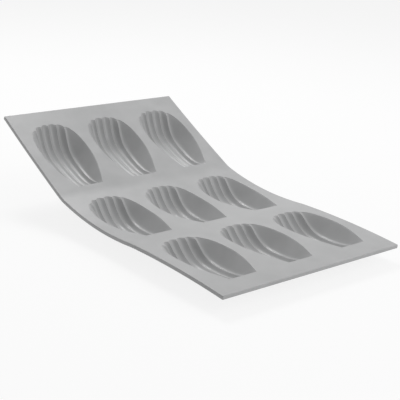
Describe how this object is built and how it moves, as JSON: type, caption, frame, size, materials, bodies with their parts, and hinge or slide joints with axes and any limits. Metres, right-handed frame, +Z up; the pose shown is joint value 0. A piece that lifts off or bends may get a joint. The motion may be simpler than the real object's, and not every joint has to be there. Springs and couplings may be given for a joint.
{
  "type": "flexible madeleine mould",
  "caption": "Flexible silicone baking mould: a thin sheet with scallop-shell cups in rows, shown flexed, with a bending strip between the rows.",
  "frame": {"origin": "on the table under the middle of the mould's width and length, in the flexed pose it is stored in", "axes": "+X to the right across the sheet, +Y from the front edge to the raised rear edge, +Z up"},
  "size_m": [0.175, 0.2892, 0.0727],
  "materials": {
    "silicone": "satin"
  },
  "bodies": {
    "middle_row": {"middle_panel": "silicone", "front_flex_strip": "silicone", "rear_flex_strip": "silicone", "cup_middle_left": "silicone", "cup_middle_centre": "silicone", "cup_middle_right": "silicone"},
    "front_row": {"front_panel": "silicone", "cup_front_left": "silicone", "cup_front_centre": "silicone", "cup_front_right": "silicone"},
    "rear_row": {"rear_panel": "silicone", "cup_rear_left": "silicone", "cup_rear_centre": "silicone", "cup_rear_right": "silicone"}
  },
  "joints": [
    {"name": "rear_flex", "type": "hinge", "parent": "middle_row", "child": "rear_row", "pos_m": [0, 0.05245, 0.02448], "axis": [1, 0, 0], "range_deg": [-57, 78], "deforming": ["rear_flex_strip"]},
    {"name": "front_flex", "type": "hinge", "parent": "middle_row", "child": "front_row", "pos_m": [0, -0.04225, 0.01602], "axis": [-1, 0, 0], "range_deg": [-43, 90], "deforming": ["front_flex_strip"]}
  ]
}
